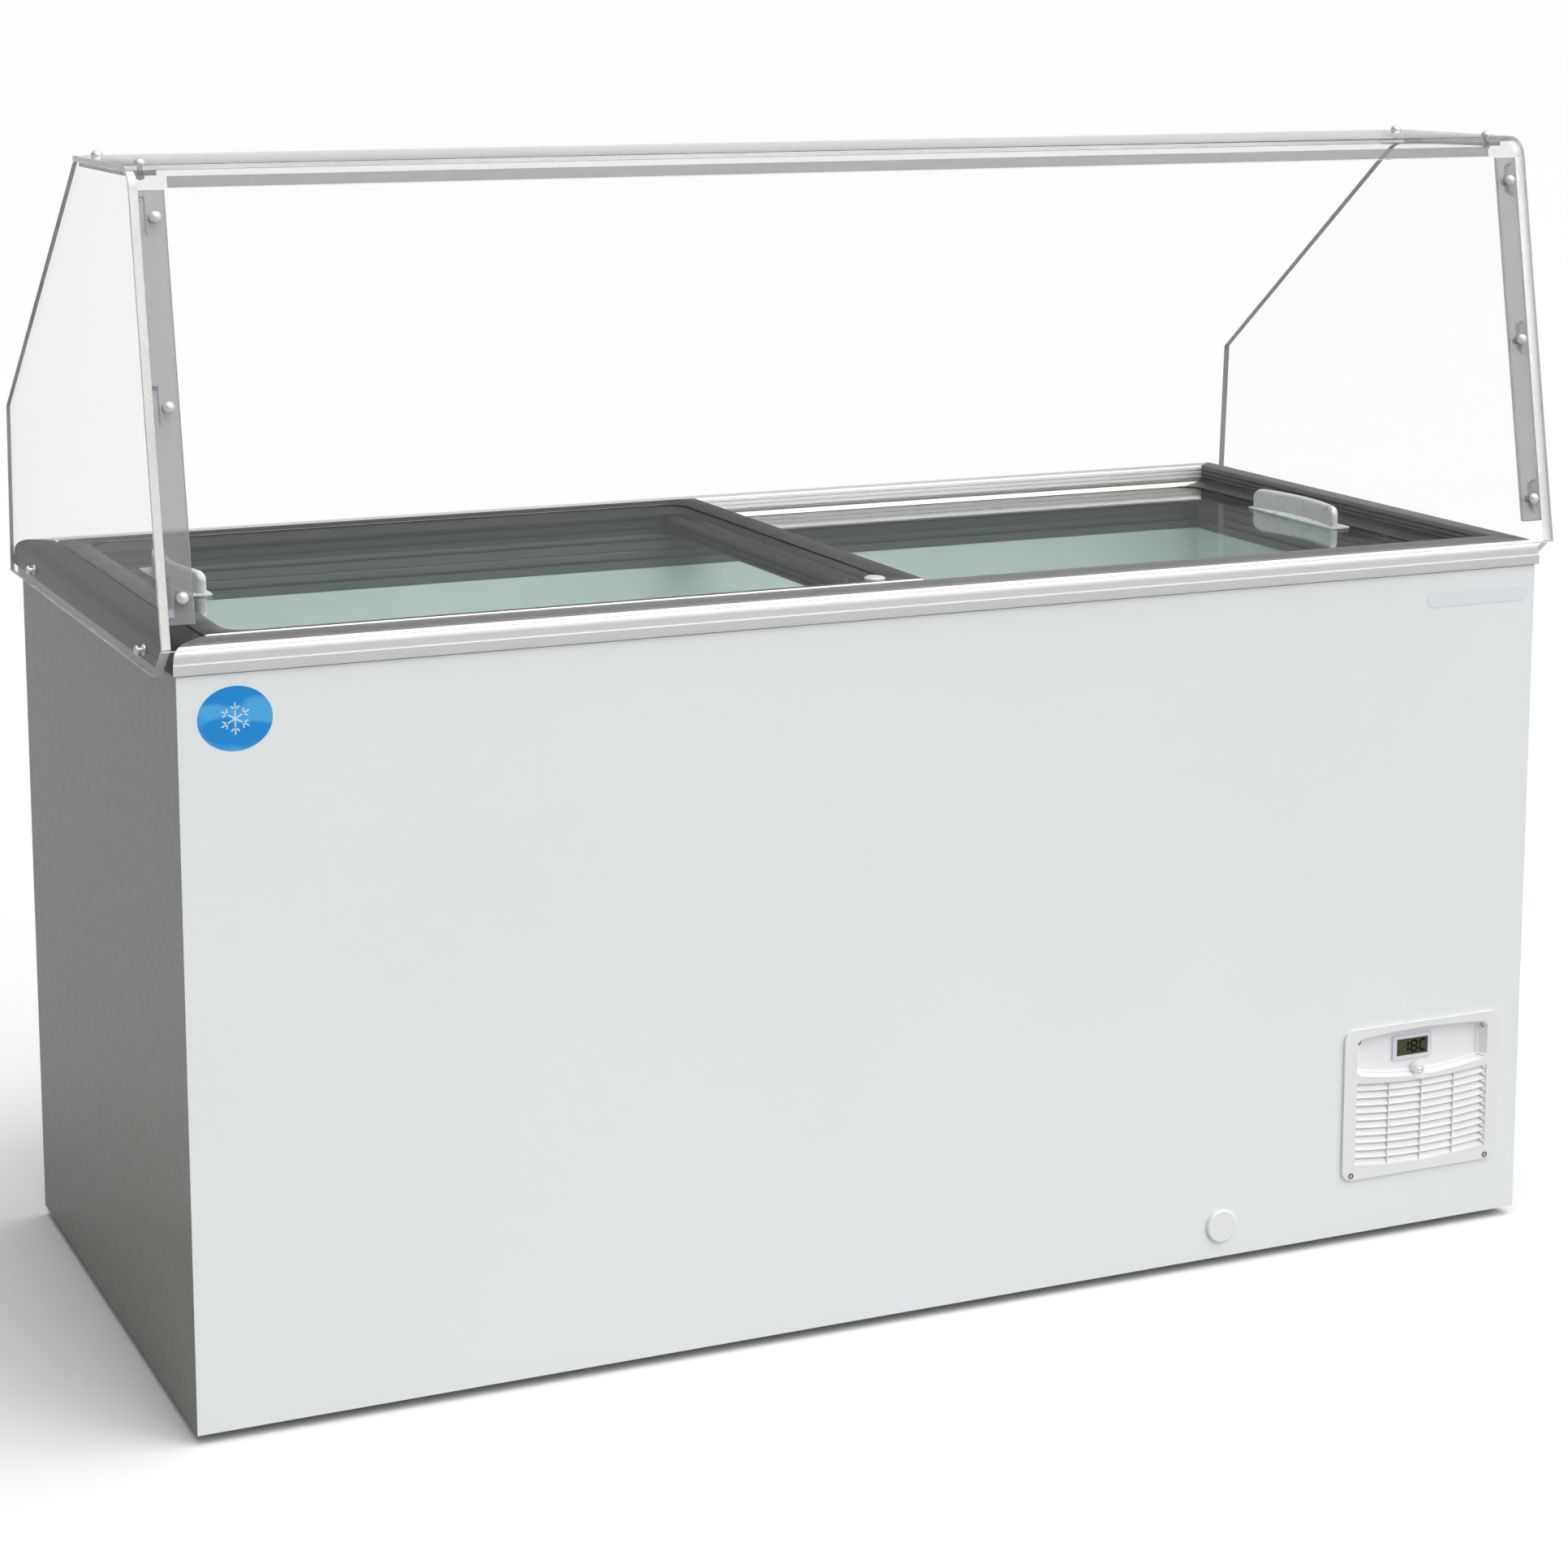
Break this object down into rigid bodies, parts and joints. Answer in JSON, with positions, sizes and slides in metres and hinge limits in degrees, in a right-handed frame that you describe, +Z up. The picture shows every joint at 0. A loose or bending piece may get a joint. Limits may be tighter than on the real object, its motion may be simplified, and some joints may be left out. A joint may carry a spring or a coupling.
{
  "type": "ice cream dipping cabinet",
  "caption": "Chest freezer for scooping ice cream, with sliding glass lids, a clear serving canopy, front vent grille and drain plug.",
  "frame": {"origin": "on the floor, under the middle of the cabinet's overall box", "axes": "+X to the customer's right along the length, +Y from the customer to the server, +Z up"},
  "size_m": [1.5358, 0.698, 1.2035],
  "materials": {
    "white_paint": "semi-gloss white powder coat",
    "galvanised": "galvanised sheet, dull",
    "foam": "rigid polyurethane foam",
    "liner": "pale coated sheet",
    "copper": "drawn copper tube",
    "aluminium": "satin anodised",
    "track": "dark grey extruded plastic",
    "lid_frame": "dark grey extruded plastic",
    "lid_glass": "clear toughened glass",
    "acrylic": "clear polished acrylic",
    "handle": "grey moulded plastic",
    "rubber": "matt black",
    "white_plastic": "warm white moulded plastic",
    "screen": "liquid crystal display",
    "steel": "bright stainless",
    "black_enamel": "black enamel"
  },
  "bodies": {
    "cabinet": {"front_panel": "white_paint", "left_side_panel": "white_paint", "right_side_panel": "white_paint", "rear_panel": "galvanised", "base_pan": "galvanised", "condenser": "galvanised", "fan_shroud": "galvanised", "rear_cover": "galvanised", "foam_insulation": "foam", "inner_liner": "liner", "evaporator_coil": "copper", "front_rail": "aluminium", "rear_rail": "aluminium", "left_rail": "aluminium", "right_rail": "aluminium", "front_track": "track", "rear_track": "track", "left_track": "track", "right_track": "track", "canopy_sheet": "acrylic", "canopy_left_end": "acrylic", "canopy_right_end": "acrylic", "front_top_strip": "acrylic", "left_corner_strip": "acrylic", "right_corner_strip": "acrylic", "left_shelf_strip": "acrylic", "right_shelf_strip": "acrylic", "front_left_foot": "rubber", "front_right_foot": "rubber", "rear_left_foot": "rubber", "rear_right_foot": "rubber", "vent_grille": "white_plastic", "thermometer_bezel": "white_plastic", "drain_tube": "white_plastic", "thermometer_screen": "screen", "compressor": "black_enamel", "fan_motor": "black_enamel", "left_lower_canopy_bolt": "steel", "left_middle_canopy_bolt": "steel", "left_upper_canopy_bolt": "steel", "right_lower_canopy_bolt": "steel", "right_middle_canopy_bolt": "steel", "right_upper_canopy_bolt": "steel", "left_front_rail_screw": "steel", "left_rear_rail_screw": "steel", "right_front_rail_screw": "steel", "right_rear_rail_screw": "steel", "left_shelf_bolt": "steel", "right_shelf_bolt": "steel"},
    "left_lid": {"left_lid_frame": "lid_frame", "left_lid_glass": "lid_glass", "left_lid_handle": "handle", "left_lid_bumper": "handle"},
    "right_lid": {"right_lid_frame": "lid_frame", "right_lid_glass": "lid_glass", "right_lid_handle": "handle", "right_lid_seal": "rubber"},
    "drain_plug": {"drain_plug": "white_plastic"},
    "thermostat_knob": {"thermostat_knob": "white_plastic"},
    "fan": {"fan_blade": "black_enamel"}
  },
  "joints": [
    {"name": "left_lid_slide", "type": "slide", "parent": "cabinet", "child": "left_lid", "axis": [1, 0, 0], "range_m": [0, 0.61]},
    {"name": "right_lid_slide", "type": "slide", "parent": "cabinet", "child": "right_lid", "axis": [1, 0, 0], "range_m": [-0.61, 0]},
    {"name": "drain_plug_pull", "type": "slide", "parent": "cabinet", "child": "drain_plug", "axis": [0, -1, 0], "range_m": [0, 0.05]},
    {"name": "thermostat_turn", "type": "hinge", "parent": "cabinet", "child": "thermostat_knob", "pos_m": [0.6185, -0.3402, 0.1863], "axis": [0, -1, 0], "range_deg": [-140, 140]},
    {"name": "fan_spin", "type": "hinge", "parent": "cabinet", "child": "fan", "pos_m": [0.62, -0.215, 0.165], "axis": [0, 1, 0], "continuous": true}
  ]
}
